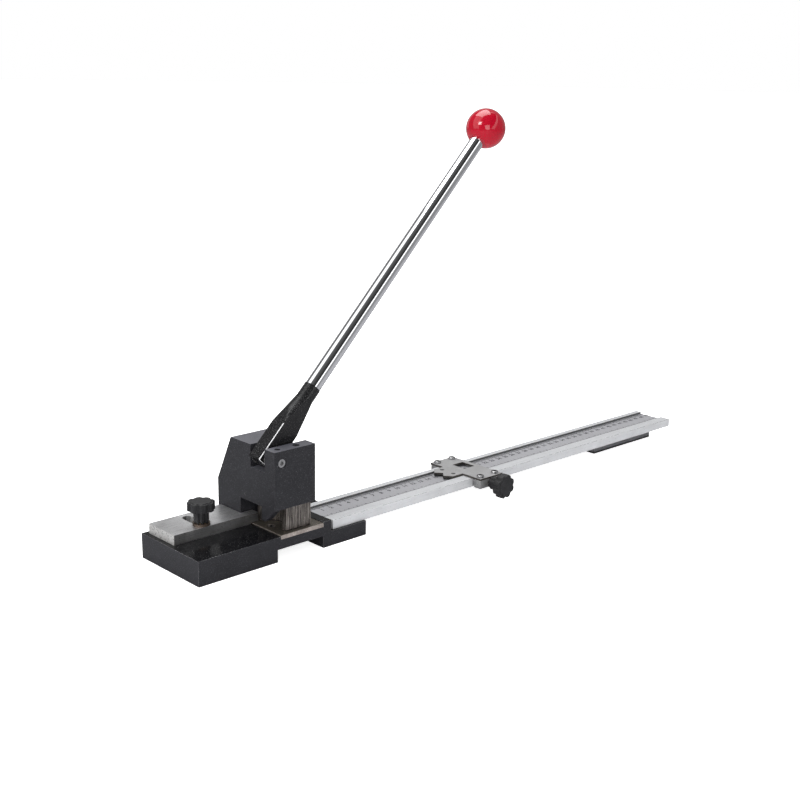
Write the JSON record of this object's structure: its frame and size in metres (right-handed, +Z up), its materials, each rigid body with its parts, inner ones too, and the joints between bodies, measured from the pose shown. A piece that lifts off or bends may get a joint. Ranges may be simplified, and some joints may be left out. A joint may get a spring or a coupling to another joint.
{
  "type": "bench strap cutter",
  "caption": "Lever-driven strap end punch in a black C-shaped head with a side fence, a long graduated outfeed rail, a sliding clamped end stop and a red ball handle.",
  "frame": {"origin": "centre of the left foot's underside, where the tool stands on the bench", "axes": "+X along the rail, away from the head; +Y to the back; +Z up"},
  "size_m": [0.635, 0.1108, 0.3627],
  "materials": {
    "base_steel": "satin black oxide",
    "head_steel": "satin black oxide",
    "black_bolt": "black oxide",
    "bright_bolt": "bright zinc",
    "ground_steel": "ground",
    "die_steel": "tempered",
    "punch_steel": "tempered, ground",
    "ram_steel": "machined",
    "yoke_black": "satin",
    "rod_chrome": "polished",
    "ball_red": "gloss",
    "brass": "turned",
    "knob_black": "satin",
    "rail_alu": "satin",
    "tape_steel": "satin",
    "foot_grey": "satin",
    "rubber": "matt",
    "stop_steel": "ground",
    "washer_brown": "tempered"
  },
  "bodies": {
    "frame": {"base": "base_steel", "head_block": "head_steel", "head_bolts": "black_bolt", "head_dowels": "bright_bolt", "oil_plugs": "black_bolt", "die_plate": "die_steel", "die_screws": "bright_bolt", "yoke_spacers": "ground_steel", "pivot_pin": "bright_bolt", "pivot_set_screw": "black_bolt", "fence_stud": "bright_bolt", "fence_washer": "washer_brown", "rail": "rail_alu", "scale_tape": "tape_steel", "rail_screws": "black_bolt", "rail_foot": "foot_grey", "rail_foot_pad": "rubber", "rail_foot_screws": "black_bolt"},
    "lever": {"lever_yoke": "yoke_black", "yoke_bush": "brass", "rod_set_screw": "black_bolt", "lever_rod": "rod_chrome", "ball_knob": "ball_red", "ball_insert": "brass"},
    "ram": {"punch": "punch_steel", "punch_screws": "black_bolt", "ram": "ram_steel", "ram_pin": "bright_bolt"},
    "fence": {"fence_bar": "ground_steel"},
    "fence_knob": {"fence_knob": "knob_black", "fence_knob_insert": "brass"},
    "stop": {"stop_plate": "stop_steel", "stop_tongue": "black_bolt", "stop_tongue_screws": "bright_bolt", "stop_front_block": "stop_steel", "stop_rear_block": "stop_steel", "stop_screws": "bright_bolt"},
    "stop_knob": {"stop_stud": "bright_bolt", "stop_knob": "knob_black", "stop_knob_insert": "brass"},
    "stop_pad": {"stop_pad": "bright_bolt"}
  },
  "joints": [
    {"name": "lever_pivot", "type": "hinge", "parent": "frame", "child": "lever", "pos_m": [0.046, -0.016, 0.0836], "axis": [0, -1, 0], "range_deg": [-13, 44]},
    {"name": "ram_slide", "type": "slide", "parent": "frame", "child": "ram", "axis": [0, 0, 1], "range_m": [-0.00475, 0.01606]},
    {"name": "fence_slide", "type": "slide", "parent": "frame", "child": "fence", "axis": [0, 1, 0], "range_m": [-0.018, 0.0004]},
    {"name": "fence_knob_turn", "type": "hinge", "parent": "frame", "child": "fence_knob", "pos_m": [-0.0034, 0.0062, 0.042], "axis": [0, 0, 1], "range_deg": [-180, 180]},
    {"name": "stop_slide", "type": "slide", "parent": "frame", "child": "stop", "axis": [1, 0, 0], "range_m": [-0.148, 0.29]},
    {"name": "stop_knob_turn", "type": "hinge", "parent": "stop", "child": "stop_knob", "pos_m": [0.2875, -0.061, 0.0176], "axis": [0, -1, 0], "range_deg": [-180, 30]},
    {"name": "stop_pad_slide", "type": "slide", "parent": "stop", "child": "stop_pad", "axis": [0, 1, 0], "range_m": [-0.00051, 0.00009]}
  ],
  "couplings": [
    {"joint": "ram_slide", "follows": "lever_pivot", "m_per_rad": 0.0209},
    {"joint": "stop_pad_slide", "follows": "stop_knob_turn", "m_per_rad": 0.00015915}
  ]
}
